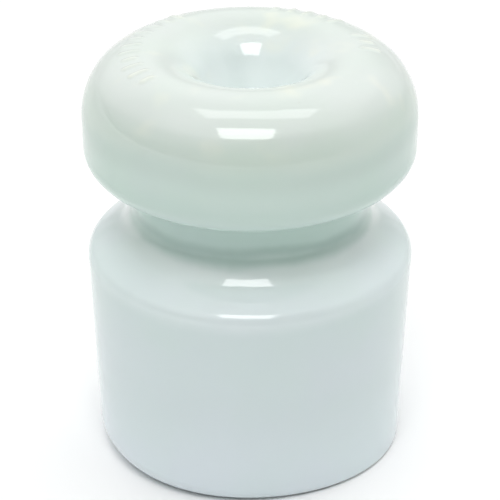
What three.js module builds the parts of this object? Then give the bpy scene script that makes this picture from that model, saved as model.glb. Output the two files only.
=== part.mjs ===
// Porcelain fence insulator: one pressed and glazed body with a ring-shaped head, a wire groove
// round the neck, a slightly tapered foot and a nail hole right down the middle.
// Millimetres, +Z up, origin at the centre of the foot.
import * as THREE from 'three';

// Body below the groove
const footRadius = 19.65;
const shoulderRadius = 20.63;
const shoulderHeight = 27.33;
const footEdgeFillet = 2;
const shoulderFillet = 2;

// Wire groove
const flankRadius = 16.17;
const flankHeight = 30.38;
const flankFillet = 5.03;
const grooveRadius = 14.78;
const grooveHeight = 32.75;
const grooveFillet = 3.0;
const neckTopRadius = 14.78;
const neckTopHeight = 37.75;
const neckTopFillet = 1.7;

// Head
const headUnderRadius = 20.65;
const headUnderHeight = 38.78;
const headUnderFillet = 3.4;
const headRadius = 20.65;
const headEquatorHeight = 47.71;
const headEquatorFillet = 8.5;
const headUpperRadius = 18.98;
const headUpperHeight = 50.57;
const headUpperFillet = 4.15;
const crownRadius = 11.63;
const crownHeight = 57.72;
const crownFillet = 7.95;

// Nail hole, with a funnel mouth at the top and a small countersink at the foot
const holeRadius = 3.4;
const throatHeight = 45.4;
const throatFillet = 2.0;
const countersink = 1.2;

// Facets
const segments = 64;
const degreesPerFacet = 15;

const glaze = new THREE.MeshStandardMaterial({ color: 0xdbe8e3, roughness: 0.12, metalness: 0 });

// The outline is walked anticlockwise in (radius, height), so the lathe's faces point outwards.
const outline = [
  corner(holeRadius, countersink),
  corner(holeRadius + countersink, 0),
  corner(footRadius, 0, footEdgeFillet),
  corner(shoulderRadius, shoulderHeight, shoulderFillet),
  corner(flankRadius, flankHeight, flankFillet),
  corner(grooveRadius, grooveHeight, grooveFillet),
  corner(neckTopRadius, neckTopHeight, neckTopFillet),
  corner(headUnderRadius, headUnderHeight, headUnderFillet),
  corner(headRadius, headEquatorHeight, headEquatorFillet),
  corner(headUpperRadius, headUpperHeight, headUpperFillet),
  corner(crownRadius, crownHeight, crownFillet),
  corner(holeRadius, throatHeight, throatFillet),
];

function corner(radius, height, fillet = 0) {
  return { at: new THREE.Vector2(radius, height), fillet };
}

// The points that replace one corner: the corner itself, or an arc tangent to both its sides.
function roundedCorner(before, { at, fillet }, after) {
  if (fillet === 0) return [at];
  const back = before.at.clone().sub(at).normalize();
  const ahead = after.at.clone().sub(at).normalize();
  const halfAngle = Math.acos(back.dot(ahead)) / 2;
  const inward = back.clone().add(ahead).normalize();
  const centre = at.clone().addScaledVector(inward, fillet / Math.sin(halfAngle));
  const start = at.clone().addScaledVector(back, fillet / Math.tan(halfAngle)).sub(centre);
  const turn = Math.sign(ahead.cross(back)) * (Math.PI - 2 * halfAngle);
  const steps = Math.max(2, Math.ceil(Math.abs(THREE.MathUtils.radToDeg(turn)) / degreesPerFacet));
  const origin = new THREE.Vector2();
  return Array.from({ length: steps + 1 }, (_, step) =>
    start.clone().rotateAround(origin, (turn * step) / steps).add(centre));
}

function roundedOutline(corners) {
  const count = corners.length;
  const points = corners.flatMap((here, index) =>
    roundedCorner(corners[(index + count - 1) % count], here, corners[(index + 1) % count]));
  return [...points, points[0].clone()];
}

function porcelainBody() {
  const lathe = new THREE.LatheGeometry(roundedOutline(outline), segments);
  lathe.rotateX(Math.PI / 2);
  const body = new THREE.Mesh(lathe, glaze);
  body.name = 'porcelain_body';
  return body;
}

const insulator = new THREE.Group();
insulator.add(porcelainBody());

export default insulator;
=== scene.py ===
"""A glazed porcelain fence insulator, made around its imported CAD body."""
import math

import bpy
import numpy as np
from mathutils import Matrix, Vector, noise


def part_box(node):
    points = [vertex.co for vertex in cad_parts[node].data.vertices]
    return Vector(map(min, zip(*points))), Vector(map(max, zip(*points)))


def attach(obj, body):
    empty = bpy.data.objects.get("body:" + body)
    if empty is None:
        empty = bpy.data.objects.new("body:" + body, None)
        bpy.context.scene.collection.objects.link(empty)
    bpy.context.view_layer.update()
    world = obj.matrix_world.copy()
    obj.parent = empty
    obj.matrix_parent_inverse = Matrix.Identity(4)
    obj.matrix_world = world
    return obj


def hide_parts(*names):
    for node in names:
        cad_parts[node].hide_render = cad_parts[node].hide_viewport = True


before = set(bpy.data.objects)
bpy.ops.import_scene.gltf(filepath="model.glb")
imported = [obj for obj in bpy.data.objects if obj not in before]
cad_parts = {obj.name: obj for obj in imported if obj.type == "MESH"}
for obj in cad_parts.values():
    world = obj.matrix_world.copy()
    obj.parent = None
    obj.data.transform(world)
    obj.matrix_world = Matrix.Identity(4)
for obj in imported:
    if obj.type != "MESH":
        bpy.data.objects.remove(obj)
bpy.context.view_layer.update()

NODE = "porcelain_body"

# The outline, walked up the outside and down the hole: name, radius, height, fillet, row spacing.
# Millimetres, as the CAD body was drawn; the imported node's box turns them into metres.
FOOT_FILLET = 2.0
OUTLINE = (
    ("countersink_top", 3.4, 1.2, 0.5, 0.4),
    ("countersink_foot", 4.6, 0.0, 0.4, 0.4),
    ("foot_edge", 19.65, 0.0, FOOT_FILLET, 0.7),
    ("shoulder", 20.63, 27.33, 2.0, 0.4),
    ("flank", 16.17, 30.38, 5.03, 0.3),
    ("groove", 14.78, 32.75, 3.0, 0.3),
    ("neck_top", 14.78, 37.75, 1.7, 0.3),
    ("head_under", 20.65, 38.78, 3.4, 0.4),
    ("head_equator", 20.65, 47.71, 8.5, 0.5),
    ("head_upper", 18.98, 50.57, 4.15, 0.3),
    ("crown", 11.63, 57.72, 7.95, 0.18),
    ("throat", 3.4, 45.4, 2.0, 0.5),
)
NAMES = [row[0] for row in OUTLINE]
RADII, HEIGHTS, FILLETS, SPACINGS = (np.array(column, float) for column in list(zip(*OUTLINE))[1:])
WIDEST = 20.65
COLUMNS = 432
FINEST_TURN = math.radians(4)

LOW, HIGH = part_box(NODE)
UNIT = (HIGH.x - LOW.x) / 2 / WIDEST

# The photograph's viewing angle
CAMERA_ELEVATION = math.radians(29.04)
CAMERA_DISTANCE = 232.8 * UNIT
AIM_HEIGHT = 25.76 * UNIT
SENSOR_WIDTH = 36.0
LENS = 130.9


# ---------------------------------------------------------------- shape

def unit(vectors):
    return vectors / np.linalg.norm(vectors, axis=-1, keepdims=True)


def turned(vectors, angles):
    """Vectors turned by angles in the plane of radius and height."""
    cos, sin = np.cos(angles), np.sin(angles)
    x, y = vectors[..., 0], vectors[..., 1]
    return np.stack([x * cos - y * sin, x * sin + y * cos], axis=-1)


def corner_arcs(at, fillet):
    """Each corner's arc: its centre, the spoke to its start, and the angle that it turns."""
    back = unit(np.roll(at, 1, axis=0) - at)
    ahead = unit(np.roll(at, -1, axis=0) - at)
    half = np.arccos(np.sum(back * ahead, axis=-1)) / 2
    centre = at + unit(back + ahead) * (fillet / np.sin(half))[..., None]
    start = at + back * (fillet / np.tan(half))[..., None]
    side = np.sign(ahead[..., 0] * back[..., 1] - ahead[..., 1] * back[..., 0])
    return centre, start - centre, side * (math.pi - 2 * half)


def outline_rows(at, fillet, counts):
    """Rows of (radius, height) round the whole outline. Row counts are fixed, so columns line up."""
    centre, spoke, turn = corner_arcs(at, fillet)
    rows = []
    for index, (arc_count, line_count) in enumerate(counts):
        for step in range(arc_count + 1):
            rows.append(centre[index] + turned(spoke[index], turn[index] * step / arc_count))
        following = (index + 1) % len(counts)
        ahead = centre[following] + spoke[following]
        for step in range(1, line_count):
            rows.append(rows[-1] + (ahead - rows[-1]) / (line_count - step + 1))
    return np.array(rows)


def row_counts():
    """(arc steps, straight steps) after each corner, from the plain outline."""
    at = np.stack([RADII, HEIGHTS], axis=-1)
    centre, spoke, turn = corner_arcs(at, FILLETS)
    counts = []
    for index, spacing in enumerate(SPACINGS):
        arc_length = abs(turn[index]) * FILLETS[index]
        arc_count = max(math.ceil(arc_length / spacing), math.ceil(abs(turn[index]) / FINEST_TURN))
        following = (index + 1) % len(SPACINGS)
        end = centre[index] + turned(spoke[index], turn[index])
        gap = np.linalg.norm(centre[following] + spoke[following] - end)
        counts.append((arc_count, max(1, math.ceil(gap / max(spacing, SPACINGS[following])))))
    return counts


# Unevenness of the outline in millimetres. The foot has three low lobes and sits to the left, and
# its edge is rubbed rounder there. The groove and the neck wander a little.
FOOT_LOBES = 0.45
LOBE_TURN = math.radians(50)
FOOT_ASIDE = 0.27
EDGE_RUB = 1.5
GROOVE_WANDER = 0.3
GROOVE_TURN = 0.7
NECK_WANDER = 0.1
NECK_TURN = 2.1


def varied_outline(angles):
    """The outline's corners in each column, with the small unevenness of a pressed body."""
    at = np.repeat(np.stack([RADII, HEIGHTS], axis=-1)[:, None], len(angles), axis=1)
    fillet = np.repeat(FILLETS[:, None], len(angles), axis=1)
    foot = NAMES.index("foot_edge")
    at[foot, :, 0] += FOOT_LOBES * np.cos(3 * angles + LOBE_TURN) - FOOT_ASIDE * np.cos(angles)
    fillet[foot] -= EDGE_RUB * np.cos(angles)
    fillet[NAMES.index("groove")] += GROOVE_WANDER * np.cos(2 * angles + GROOVE_TURN)
    at[NAMES.index("neck_top"), :, 0] += NECK_WANDER * np.cos(angles + NECK_TURN)
    return at, fillet


def outward(rows):
    """Unit normals of closed rows of (radius, height), pointing out of the porcelain."""
    along = np.roll(rows, -1, axis=0) - np.roll(rows, 1, axis=0)
    return unit(np.stack([along[..., 1], -along[..., 0]], axis=-1))


# ---------------------------------------------------------------- raised marks

RIB_RADIUS = 14.6
RIB_LENGTH = 2.6
RIB_WIDTH = 0.75
RIB_HEIGHT = 0.15
RIB_SOFT = 0.6
RIB_PITCH = math.radians(8.5)
# Every third rib is shorter. Each group is its middle and its count.
SHORT_RIB = 0.72
RIB_GROUPS = ((math.radians(172), 11), (math.radians(60), 5), (math.radians(12), 3))
CROWN_FROM = HEIGHTS[NAMES.index("head_upper")] - 1


def soft_step(distance, softness):
    """1 inside an edge, 0 outside it, eased over softness. distance is positive outside."""
    t = np.clip(0.5 - distance / softness, 0, 1)
    return t * t * (3 - 2 * t)


def rib_mask(radius, height, angles):
    """How much each point belongs to the plain raised ribs on the crown, from 0 to 1."""
    mask = np.zeros_like(radius)
    on_crown = height > CROWN_FROM
    for middle, count in RIB_GROUPS:
        for number in range(count):
            angle = middle + (number - (count - 1) / 2) * RIB_PITCH
            apart = (angles[None, :] - angle + math.pi) % (2 * math.pi) - math.pi
            across = np.abs(apart) * RIB_RADIUS
            length = RIB_LENGTH * (SHORT_RIB if number % 3 == 1 else 1)
            along = np.maximum(np.abs(radius - RIB_RADIUS) - (length - RIB_WIDTH) / 2, 0)
            mask = np.maximum(mask, soft_step(np.hypot(across, along) - RIB_WIDTH / 2, RIB_SOFT))
    return mask * on_crown


# ---------------------------------------------------------------- body

def wave(points, size, seed):
    """Smooth noise from -1 to 1 at each point, with bumps about size millimetres across."""
    shift = Vector((seed * 7.3, seed * 3.1, seed * 5.7))
    flat = points.reshape(-1, 3) / size
    return np.array([noise.noise(Vector(p) + shift) for p in flat]).reshape(points.shape[:2])


# Where the funnel's paler colour lies, in millimetres. The paler colour is painted light, for light bounced
# round the hollow.
FUNNEL_RADIUS = 8.5
FUNNEL_SOFT = 5.0
FUNNEL_BOTTOM = 40
# The foot's flat ring stays plane: the unevenness eases in round this height.
UNEVEN_FROM = 1.0
UNEVEN_SOFT = 1.6
# The unglazed ring under the foot, outside the countersink
BARE_TOP = 0.12
BARE_TOP_SOFT = 0.2
BARE_INNER = 4.6
BARE_INNER_SOFT = 0.6
# The glaze's unevenness: size of its bumps and their depth in millimetres, and the noise's seed
SWELLS = ((14.0, 0.05, 1), (3.6, 0.018, 2), (1.7, 0.006, 3))


def glazed_body():
    angles = np.arange(COLUMNS) * 2 * math.pi / COLUMNS
    at, fillet = varied_outline(angles)
    rows = outline_rows(at, fillet, row_counts())
    normals = outward(rows)
    radius, height = rows[..., 0], rows[..., 1]
    cos, sin = np.cos(angles)[None, :], np.sin(angles)[None, :]
    points = np.stack([radius * cos, radius * sin, height], axis=-1)

    ribs = rib_mask(radius, height, angles)
    off_foot = 1 - soft_step(height - UNEVEN_FROM, UNEVEN_SOFT)
    swell = sum(depth * wave(points, size, seed) for size, depth, seed in SWELLS)
    lift = RIB_HEIGHT * ribs + swell * off_foot
    moved = rows + normals * lift[..., None]
    points = np.stack([moved[..., 0] * cos, moved[..., 0] * sin, np.maximum(moved[..., 1], 0)], axis=-1)

    count, columns = radius.shape
    index = np.arange(count * columns).reshape(count, columns)
    right = np.roll(index, -1, axis=1)
    above, above_right = np.roll(index, -1, axis=0), np.roll(right, -1, axis=0)
    faces = np.stack([index, right, above_right, above], axis=-1).reshape(-1, 4)
    mesh = bpy.data.meshes.new("glazed_body")
    mesh.from_pydata((points.reshape(-1, 3) * UNIT).tolist(), [], faces.tolist())
    mesh.polygons.foreach_set("use_smooth", [True] * len(mesh.polygons))

    bare = soft_step(height - BARE_TOP, BARE_TOP_SOFT) * soft_step(BARE_INNER - radius, BARE_INNER_SOFT)
    # The funnel's mask, for its painted light
    funnel = soft_step(radius - FUNNEL_RADIUS, FUNNEL_SOFT) * (height > FUNNEL_BOTTOM)
    add_field(mesh, "raised", ribs)
    add_field(mesh, "bare_foot", bare)
    add_field(mesh, "funnel", funnel)
    # The hollows' painted shade
    add_field(mesh, "hollow_shade", hollow_shade(rows, normals))
    body = bpy.data.objects.new("glazed_body", mesh)
    bpy.context.collection.objects.link(body)
    return body


# Curvature per millimetre where a hollow starts to take painted shade, and where the shade is full
SLACK_BEND = 0.2
TIGHT_BEND = 0.35
HOLLOW_SHADE_BLURS = 12


def hollow_shade(rows, normals):
    """Painted shade in the hollows of the outline, from 0 to 1."""
    ahead, behind = np.roll(rows, -1, axis=0), np.roll(rows, 1, axis=0)
    bend = np.sum((ahead + behind - 2 * rows) * normals, axis=-1)
    spacing = np.sum((ahead - behind) ** 2, axis=-1) / 4
    hollow = np.clip((bend / spacing - SLACK_BEND) / (TIGHT_BEND - SLACK_BEND), 0, 1)
    for _ in range(HOLLOW_SHADE_BLURS):
        hollow = (np.roll(hollow, 1, axis=0) + 2 * hollow + np.roll(hollow, -1, axis=0)) / 4
    return hollow


def add_field(mesh, name, values):
    field = mesh.attributes.new(name, "FLOAT", "POINT")
    field.data.foreach_set("value", np.ascontiguousarray(values, np.float32).ravel())


# ---------------------------------------------------------------- materials

# Colour up the body, with painted light and shade in it: height in millimetres and colour.
# The dark band at 32.5 to 33.3 mm in the groove's root is painted shade and a painted
# reflection of the head's underside. The darker rows on the neck and under the head are
# painted shade, and the paler rows at the foot and on the shoulder are painted light.
TINTS_WITH_PAINTED_LIGHT = (
    (0, (0.73, 0.82, 0.85)),
    (16, (0.645, 0.735, 0.745)),
    (25, (0.62, 0.725, 0.715)),
    (28.5, (0.72, 0.80, 0.80)),
    (31.3, (0.74, 0.825, 0.80)),
    (32.5, (0.54, 0.67, 0.62)),
    (33.3, (0.38, 0.525, 0.475)),
    (34.5, (0.51, 0.67, 0.615)),
    (39, (0.55, 0.68, 0.635)),
    (41, (0.53, 0.67, 0.61)),
    (43.5, (0.56, 0.69, 0.63)),
    (46, (0.535, 0.655, 0.595)),
    (48.5, (0.592, 0.688, 0.622)),
    (52, (0.64, 0.703, 0.66)),
)
# The funnel's colour, paler than the crown's: painted light.
FUNNEL_PAINTED_LIGHT = (0.74, 0.815, 0.795, 1)
# Darker colour in the hollows of the outline: painted shade.
HOLLOW_SHADE_TINT = (0.46, 0.62, 0.57, 1)
HOLLOW_SHADE_AMOUNT = 0.45
EDGE_TINT = (0.78, 0.80, 0.68, 1)
BARE_TINT = (0.74, 0.71, 0.65, 1)
SPECK_TINT = (0.45, 0.43, 0.33, 1)
SPECK_AMOUNT = 0.5
WARM_AMOUNT = 0.55
HUE_DRIFT = ((1.008, 0.997, 1.01, 1), (0.992, 1.003, 0.992, 1))

# The glaze's noise textures: scale and detail
NOISES = {
    "cloud": (70.0, 4.0),
    "warm": (150.0, 2.0),
    "hue": (90.0, 2.0),
    "rare": (120.0, 1.0),
    "grain": (2500.0, 2.0),
    "ragged": (600.0, 3.0),
    "polish": (180.0, 5.0),
    "peel": (420.0, 2.0),
}
SPECK_SCALE = 260.0

# How far, in metres, the colour by height wanders with the clouds
CLOUD_DRIFT = 0.003
# Heights in metres between which the warm patches of the crown come in
WARM_HEIGHTS = (0.047, 0.051)
# Texture levels where each effect starts and is full, then its own two levels if they aren't 0 and 1
WARM_LEVELS = (0.52, 0.72, 0, WARM_AMOUNT)
HUE_LEVELS = (0.3, 0.7)
WORN_LEVELS = (0.35, 0.75, 0.1, 0.7)
SPECK_LEVELS = (0.10, 0.05)
RARE_LEVELS = (0.62, 0.7)
RIM_LEVELS = (0.5, 0.75)
ROUGHNESS_LEVELS = (0.3, 0.7, 0.05, 0.1)
RAGGEDNESS = 0.3
BARE_ROUGHNESS = 0.75
# Relief of the bump: orange peel, specks and bare grain
PEEL_RELIEF = 0.25
SPECK_RELIEF = -0.6
GRAIN_RELIEF = 1.5


class Nodes:
    """Short calls for building one material's node tree."""

    def __init__(self, tree):
        self.tree = tree

    def add(self, kind, inputs=(), **settings):
        node = self.tree.nodes.new(kind)
        for name, value in settings.items():
            setattr(node, name, value)
        for name, value in dict(inputs).items():
            self.feed(node.inputs[name], value)
        return node

    def feed(self, socket, value):
        if isinstance(value, bpy.types.NodeSocket):
            self.tree.links.new(value, socket)
        else:
            socket.default_value = value

    def field(self, name):
        return self.add("ShaderNodeAttribute", attribute_name=name).outputs["Fac"]

    def noise(self, place, scale, detail):
        inputs = {"Vector": place, "Scale": scale, "Detail": detail}
        return self.add("ShaderNodeTexNoise", inputs).outputs["Fac"]

    def spread(self, value, low, high, to_low=0.0, to_high=1.0):
        inputs = {"Value": value, "From Min": low, "From Max": high, "To Min": to_low, "To Max": to_high}
        return self.add("ShaderNodeMapRange", inputs, interpolation_type="SMOOTHSTEP").outputs["Result"]

    def ramp(self, value, stops, interpolation="EASE"):
        """A colour ramp through (place, colour) stops."""
        node = self.add("ShaderNodeValToRGB", {"Fac": value})
        node.color_ramp.interpolation = interpolation
        elements = node.color_ramp.elements
        while len(elements) < len(stops):
            elements.new(0.5)
        for element, (place, colour) in zip(elements, stops):
            element.position = place
            element.color = (*colour, 1)
        return node.outputs["Color"]

    def math(self, operation, first, second):
        node = self.add("ShaderNodeMath", operation=operation)
        self.feed(node.inputs[0], first)
        self.feed(node.inputs[1], second)
        return node.outputs[0]

    def dot(self, vector, direction):
        node = self.add("ShaderNodeVectorMath", {"Vector": vector}, operation="DOT_PRODUCT")
        node.inputs[1].default_value = direction
        return node.outputs["Value"]

    def product_of(self, first, second):
        return self.math("MULTIPLY", first, second)

    def mix(self, amount, first, second, blend="MIX"):
        node = self.add("ShaderNodeMix", data_type="RGBA", blend_type=blend)
        for socket, value in zip((node.inputs[0], node.inputs[6], node.inputs[7]), (amount, first, second)):
            self.feed(socket, value)
        return node.outputs[2]


def new_material(name):
    material = bpy.data.materials.new(name)
    material.use_nodes = True
    shader = material.node_tree.nodes["Principled BSDF"]
    return material, Nodes(material.node_tree), shader


def porcelain_material():
    material, nodes, shader = new_material("glazed_porcelain")
    place = nodes.add("ShaderNodeTexCoord").outputs["Object"]
    height = nodes.add("ShaderNodeSeparateXYZ", {"Vector": place}).outputs["Z"]
    raised, shade_in_hollows, bare = nodes.field("raised"), nodes.field("hollow_shade"), nodes.field("bare_foot")

    cloud, warm, hue, rare, grain, ragged, polish, peel = (
        nodes.noise(place, scale, detail) for scale, detail in NOISES.values())
    speck = nodes.add("ShaderNodeTexVoronoi", {"Vector": place, "Scale": SPECK_SCALE}).outputs["Distance"]
    speck = nodes.product_of(nodes.spread(speck, *SPECK_LEVELS), nodes.spread(rare, *RARE_LEVELS))

    wander = nodes.product_of(nodes.math("SUBTRACT", cloud, 0.5), CLOUD_DRIFT)
    # The colour by height: painted shade in the groove and under the head, and painted light at the foot
    # and on the shoulder.
    top = TINTS_WITH_PAINTED_LIGHT[-1][0]
    stops = [(level / top, tint) for level, tint in TINTS_WITH_PAINTED_LIGHT]
    colour = nodes.ramp(nodes.math("DIVIDE", nodes.math("ADD", height, wander), top * UNIT), stops)
    # Paler in the funnel: painted light.
    colour = nodes.mix(nodes.field("funnel"), colour, FUNNEL_PAINTED_LIGHT)
    warmth = nodes.product_of(nodes.spread(warm, *WARM_LEVELS), nodes.spread(height, *WARM_HEIGHTS))
    colour = nodes.mix(warmth, colour, EDGE_TINT)
    colour = nodes.mix(1.0, colour, nodes.mix(nodes.spread(hue, *HUE_LEVELS), *HUE_DRIFT), "MULTIPLY")
    # Darker in the hollows of the outline: painted shade.
    colour = nodes.mix(nodes.product_of(shade_in_hollows, HOLLOW_SHADE_AMOUNT), colour, HOLLOW_SHADE_TINT)
    colour = nodes.mix(nodes.product_of(raised, nodes.spread(cloud, *WORN_LEVELS)), colour, EDGE_TINT)
    colour = nodes.mix(nodes.product_of(speck, SPECK_AMOUNT), colour, SPECK_TINT)
    rim = nodes.math("ADD", bare, nodes.product_of(ragged, RAGGEDNESS))
    rim = nodes.spread(rim, *RIM_LEVELS)
    colour = nodes.mix(rim, colour, BARE_TINT)
    nodes.feed(shader.inputs["Base Color"], colour)

    rough = nodes.spread(polish, *ROUGHNESS_LEVELS)
    rough = nodes.math("MAXIMUM", rough, nodes.product_of(rim, BARE_ROUGHNESS))
    nodes.feed(shader.inputs["Roughness"], rough)
    shader.inputs["IOR"].default_value = 1.6
    shader.inputs["Subsurface Weight"].default_value = 0.12
    shader.inputs["Subsurface Radius"].default_value = (1.0, 1.0, 0.9)
    shader.inputs["Subsurface Scale"].default_value = 0.0015

    relief = nodes.math("ADD", nodes.product_of(peel, PEEL_RELIEF), nodes.product_of(speck, SPECK_RELIEF))
    grain = nodes.product_of(nodes.product_of(grain, rim), GRAIN_RELIEF)
    relief = nodes.math("ADD", relief, grain)
    bump = nodes.add("ShaderNodeBump", {"Height": relief, "Strength": 0.1, "Distance": 0.0001})
    nodes.feed(shader.inputs["Normal"], bump.outputs["Normal"])
    return material


FLOOR_CLOUD = (6.0, 3.0)
FLOOR_SHADES = ((0.92, 0.92, 0.92, 1), (0.94, 0.94, 0.94, 1))


def floor_material():
    material, nodes, shader = new_material("pale_floor")
    place = nodes.add("ShaderNodeTexCoord").outputs["Object"]
    nodes.feed(shader.inputs["Base Color"], nodes.mix(nodes.noise(place, *FLOOR_CLOUD), *FLOOR_SHADES))
    shader.inputs["Roughness"].default_value = 0.9
    shader.inputs["Specular IOR Level"].default_value = 0.1
    return material


# ---------------------------------------------------------------- studio

FLOOR_SIZE = 8.0

# Brightness of the surroundings. The room is dark to the front, and its ceiling brightens upwards,
# towards the back and a little to the left: CEILING_LEAN says how a direction counts as height, and
# CEILING how bright that height is. Each glow is its name, elevation and azimuth in degrees, the
# cosines where it starts and is full, and brightness.
CEILING_LEAN = (-0.3, 0.22, 1.0)
CEILING = ((0.4, 0.0), (0.6, 0.42), (0.8, 0.6))
BRIGHTEST = 2.0
GLOWS = (
    ("overhead", 71, -40, 0.7, 0.97, 0.6),
    ("window", 30, 107, 0.6, 0.98, 0.72),
    ("back_wall", 8, 180, 0.2, 0.95, 0.62),
)
# A pale band at the horizon, up to where its sine is HORIZON_TOP. It starts at FAR_FLOOR, a little
# darker than the floor looks far away, and reaches HORIZON where its sine is HORIZON_FULL.
FAR_FLOOR = 0.68
HORIZON = 0.9
HORIZON_FULL = 0.05
HORIZON_TOP = 0.09
HORIZON_SOFT = 0.015


def add_floor():
    bpy.ops.mesh.primitive_plane_add(size=FLOOR_SIZE, location=(0, 0, LOW.z))
    floor = bpy.context.object
    floor.name = "floor"
    floor.data.materials.append(floor_material())


def towards(elevation, azimuth):
    """The direction to a light. Azimuth 0 is on the camera's side; positive is to its right."""
    e, a = math.radians(elevation), math.radians(azimuth)
    return Vector((math.sin(a) * math.cos(e), -math.cos(a) * math.cos(e), math.sin(e)))


def add_sky():
    world = bpy.data.worlds.new("studio")
    bpy.context.scene.world = world
    world.use_nodes = True
    nodes = Nodes(world.node_tree)
    direction = nodes.add("ShaderNodeTexCoord").outputs["Generated"]
    stops = [(place, (level / BRIGHTEST,) * 3) for place, level in CEILING]
    brightness = nodes.ramp(nodes.dot(direction, CEILING_LEAN), stops)
    for _, elevation, azimuth, start, full, level in GLOWS:
        toward = nodes.dot(direction, towards(elevation, azimuth))
        glow = nodes.spread(toward, start, full, 0, level / BRIGHTEST)
        brightness = nodes.math("ADD", brightness, glow)
    sine = nodes.dot(direction, (0, 0, 1))
    low = nodes.spread(sine, HORIZON_TOP + HORIZON_SOFT, HORIZON_TOP - HORIZON_SOFT)
    horizon = nodes.spread(sine, 0, HORIZON_FULL, FAR_FLOOR / BRIGHTEST, HORIZON / BRIGHTEST)
    background = world.node_tree.nodes["Background"]
    nodes.feed(background.inputs["Color"], nodes.mix(low, brightness, horizon))
    background.inputs["Strength"].default_value = BRIGHTEST


# The lights' distance in metres from the point they aim at, and its height as a share of the object's
LIGHT_DISTANCE = 0.7
LIGHT_AIM = 0.8


def add_softbox(name, elevation, azimuth, width, height, radiance, aside=0.0):
    """A rectangular light, width by height degrees across as the object sees it.

    It is then moved aside, in metres to the camera's right.
    """
    away = towards(elevation, azimuth)
    data = bpy.data.lights.new(name, "AREA")
    data.shape = "RECTANGLE"
    data.size = 2 * LIGHT_DISTANCE * math.tan(math.radians(width) / 2)
    data.size_y = 2 * LIGHT_DISTANCE * math.tan(math.radians(height) / 2)
    data.energy = radiance * math.pi * data.size * data.size_y
    light = bpy.data.objects.new(name, data)
    light.location = Vector((0, 0, HIGH.z * LIGHT_AIM)) + away * LIGHT_DISTANCE
    light.rotation_mode = "QUATERNION"
    light.rotation_quaternion = away.to_track_quat("Z", "Y")
    light.location.x += aside
    bpy.context.collection.objects.link(light)


def add_camera():
    data = bpy.data.cameras.new("camera")
    data.sensor_width = SENSOR_WIDTH
    data.lens = LENS
    data.clip_start = 0.01
    camera = bpy.data.objects.new("camera", data)
    back = Vector((0, -math.cos(CAMERA_ELEVATION), math.sin(CAMERA_ELEVATION)))
    camera.location = Vector((0, 0, AIM_HEIGHT)) + back * CAMERA_DISTANCE
    camera.rotation_euler = (math.pi / 2 - CAMERA_ELEVATION, 0, 0)
    bpy.context.collection.objects.link(camera)
    bpy.context.scene.camera = camera


# ---------------------------------------------------------------- scene

add_camera()
body = glazed_body()
body.data.materials.append(porcelain_material())
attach(body, "root")
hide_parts(NODE)
add_floor()
add_sky()
add_softbox("front_softbox", elevation=60.7, azimuth=-3.5, width=28, height=24, radiance=5.2)
add_softbox("top_softbox", elevation=99, azimuth=0, width=40, height=16.5, radiance=2.0, aside=0.04)
bpy.context.scene.view_settings.view_transform = "Standard"
